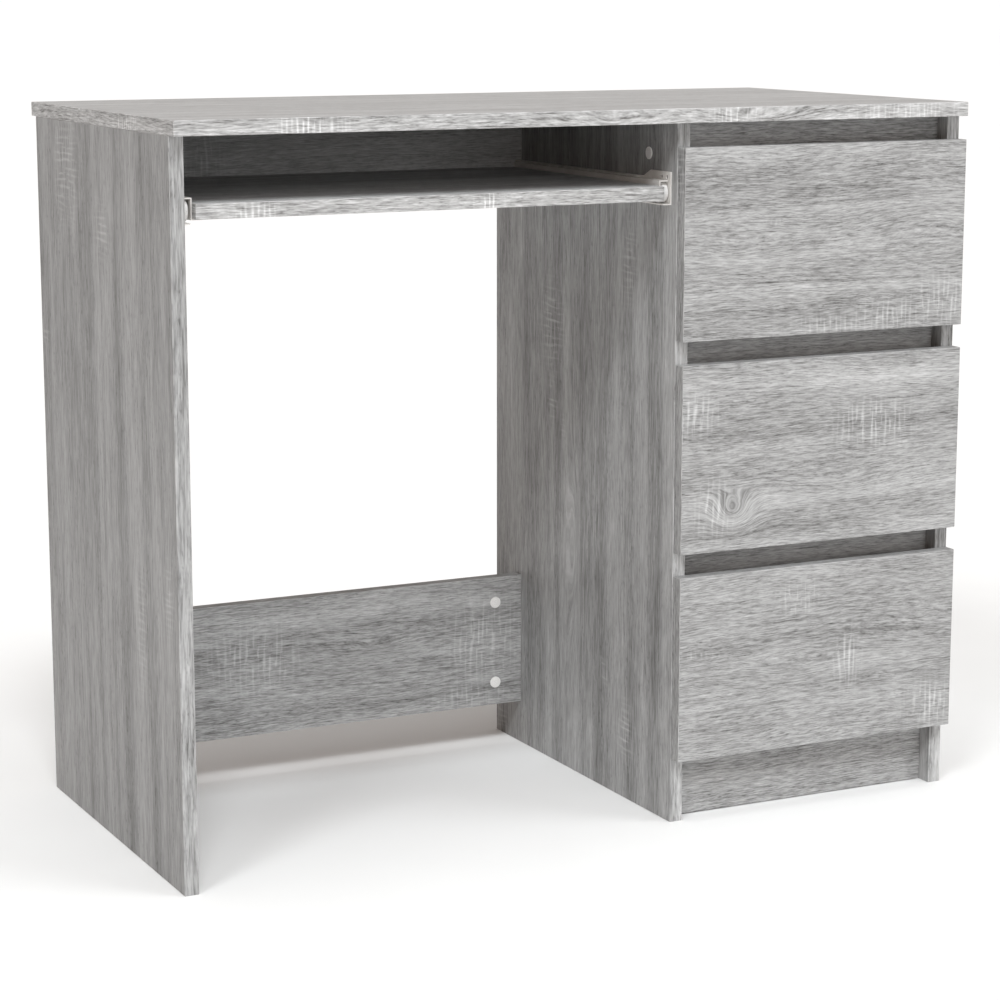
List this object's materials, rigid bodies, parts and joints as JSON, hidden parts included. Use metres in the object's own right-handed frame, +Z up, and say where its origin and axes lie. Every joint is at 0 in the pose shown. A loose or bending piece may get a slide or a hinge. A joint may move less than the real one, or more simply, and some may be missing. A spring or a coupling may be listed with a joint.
{
  "type": "writing desk with drawers",
  "caption": "Free-standing writing desk: flat top on panel legs, a pull-out keyboard tray over the knee space and a pedestal of handleless drawers on roller runners.",
  "frame": {"origin": "on the floor under the middle of the desktop", "axes": "+X to the right along the desktop's length, +Y to the back, +Z up; the drawer fronts face -Y"},
  "size_m": [0.9, 0.45, 0.76],
  "materials": {
    "laminate_along": "matt grey washed oak laminate on chipboard, grain along the board's length",
    "laminate_upright": "matt grey washed oak laminate on chipboard, grain upright",
    "drawer_board": "matt grey washed oak laminate on chipboard, drawer boxes",
    "hardboard": "smooth thin fibreboard, grey printed face",
    "coated_steel": "cream epoxy coated sheet steel, satin",
    "roller_plastic": "moulded white nylon",
    "cap_plastic": "moulded off-white cover caps",
    "zinc": "zinc plated",
    "dowel_wood": "plain beech"
  },
  "bodies": {
    "desk": {"cam_bolts": "zinc", "cam_caps": "cap_plastic", "cam_locks": "zinc", "desktop": "laminate_along", "divider_panel": "laminate_upright", "dowels": "dowel_wood", "drawer_1_left_fixed_runner": "coated_steel", "drawer_1_right_fixed_runner": "coated_steel", "drawer_2_left_fixed_runner": "coated_steel", "drawer_2_right_fixed_runner": "coated_steel", "drawer_3_left_fixed_runner": "coated_steel", "drawer_3_right_fixed_runner": "coated_steel", "front_rail_1": "laminate_along", "front_rail_2": "laminate_along", "front_rail_3": "laminate_along", "kick_board": "laminate_along", "left_side_panel": "laminate_upright", "lower_back_rail": "laminate_along", "pedestal_back_panel": "hardboard", "right_side_panel": "laminate_upright", "runner_screws": "zinc", "tray_left_fixed_runner": "coated_steel", "tray_right_fixed_runner": "coated_steel", "upper_back_rail": "laminate_along"},
    "tray": {"keyboard_tray": "laminate_along", "tray_left_sliding_runner": "coated_steel", "tray_right_sliding_runner": "coated_steel", "tray_screws": "zinc"},
    "drawer_1": {"drawer_1_front": "laminate_along", "drawer_1_left_side": "drawer_board", "drawer_1_right_side": "drawer_board", "drawer_1_back": "drawer_board", "drawer_1_bottom": "hardboard", "drawer_1_left_sliding_runner": "coated_steel", "drawer_1_right_sliding_runner": "coated_steel", "drawer_1_fixings": "zinc"},
    "drawer_2": {"drawer_2_front": "laminate_along", "drawer_2_left_side": "drawer_board", "drawer_2_right_side": "drawer_board", "drawer_2_back": "drawer_board", "drawer_2_bottom": "hardboard", "drawer_2_left_sliding_runner": "coated_steel", "drawer_2_right_sliding_runner": "coated_steel", "drawer_2_fixings": "zinc"},
    "drawer_3": {"drawer_3_front": "laminate_along", "drawer_3_left_side": "drawer_board", "drawer_3_right_side": "drawer_board", "drawer_3_back": "drawer_board", "drawer_3_bottom": "hardboard", "drawer_3_left_sliding_runner": "coated_steel", "drawer_3_right_sliding_runner": "coated_steel", "drawer_3_fixings": "zinc"},
    "tray_front_rollers": {"tray_front_rollers": "roller_plastic"},
    "tray_rear_rollers": {"tray_rear_rollers": "roller_plastic"},
    "drawer_1_front_rollers": {"drawer_1_front_rollers": "roller_plastic"},
    "drawer_1_rear_rollers": {"drawer_1_rear_rollers": "roller_plastic"},
    "drawer_2_front_rollers": {"drawer_2_front_rollers": "roller_plastic"},
    "drawer_2_rear_rollers": {"drawer_2_rear_rollers": "roller_plastic"},
    "drawer_3_front_rollers": {"drawer_3_front_rollers": "roller_plastic"},
    "drawer_3_rear_rollers": {"drawer_3_rear_rollers": "roller_plastic"}
  },
  "joints": [
    {"name": "tray_slide", "type": "slide", "parent": "desk", "child": "tray", "axis": [0, -1, 0], "range_m": [0, 0.25]},
    {"name": "drawer_1_slide", "type": "slide", "parent": "desk", "child": "drawer_1", "axis": [0, -1, 0], "range_m": [0, 0.25]},
    {"name": "drawer_2_slide", "type": "slide", "parent": "desk", "child": "drawer_2", "axis": [0, -1, 0], "range_m": [0, 0.25]},
    {"name": "drawer_3_slide", "type": "slide", "parent": "desk", "child": "drawer_3", "axis": [0, -1, 0], "range_m": [0, 0.25]},
    {"name": "tray_front_rollers_turn", "type": "hinge", "parent": "desk", "child": "tray_front_rollers", "pos_m": [-0.1675, -0.1834, 0.6728], "axis": [1, 0, 0], "range_deg": [-5, 1308]},
    {"name": "tray_rear_rollers_turn", "type": "hinge", "parent": "tray", "child": "tray_rear_rollers", "pos_m": [-0.1675, 0.126, 0.6735], "axis": [1, 0, 0], "range_deg": [-5, 1199]},
    {"name": "drawer_1_front_rollers_turn", "type": "hinge", "parent": "desk", "child": "drawer_1_front_rollers", "pos_m": [0.275, -0.1834, 0.5528], "axis": [1, 0, 0], "range_deg": [-5, 1308]},
    {"name": "drawer_1_rear_rollers_turn", "type": "hinge", "parent": "drawer_1", "child": "drawer_1_rear_rollers", "pos_m": [0.275, 0.1266, 0.5535], "axis": [1, 0, 0], "range_deg": [-5, 1199]},
    {"name": "drawer_2_front_rollers_turn", "type": "hinge", "parent": "desk", "child": "drawer_2_front_rollers", "pos_m": [0.275, -0.1834, 0.3278], "axis": [1, 0, 0], "range_deg": [-5, 1308]},
    {"name": "drawer_2_rear_rollers_turn", "type": "hinge", "parent": "drawer_2", "child": "drawer_2_rear_rollers", "pos_m": [0.275, 0.1266, 0.3285], "axis": [1, 0, 0], "range_deg": [-5, 1199]},
    {"name": "drawer_3_front_rollers_turn", "type": "hinge", "parent": "desk", "child": "drawer_3_front_rollers", "pos_m": [0.275, -0.1834, 0.1028], "axis": [1, 0, 0], "range_deg": [-5, 1308]},
    {"name": "drawer_3_rear_rollers_turn", "type": "hinge", "parent": "drawer_3", "child": "drawer_3_rear_rollers", "pos_m": [0.275, 0.1266, 0.1035], "axis": [1, 0, 0], "range_deg": [-5, 1199]}
  ],
  "couplings": [
    {"joint": "tray_front_rollers_turn", "follows": "tray_slide", "rad_per_m": 90.909},
    {"joint": "tray_rear_rollers_turn", "follows": "tray_slide", "rad_per_m": 83.333},
    {"joint": "drawer_1_front_rollers_turn", "follows": "drawer_1_slide", "rad_per_m": 90.909},
    {"joint": "drawer_1_rear_rollers_turn", "follows": "drawer_1_slide", "rad_per_m": 83.333},
    {"joint": "drawer_2_front_rollers_turn", "follows": "drawer_2_slide", "rad_per_m": 90.909},
    {"joint": "drawer_2_rear_rollers_turn", "follows": "drawer_2_slide", "rad_per_m": 83.333},
    {"joint": "drawer_3_front_rollers_turn", "follows": "drawer_3_slide", "rad_per_m": 90.909},
    {"joint": "drawer_3_rear_rollers_turn", "follows": "drawer_3_slide", "rad_per_m": 83.333}
  ]
}
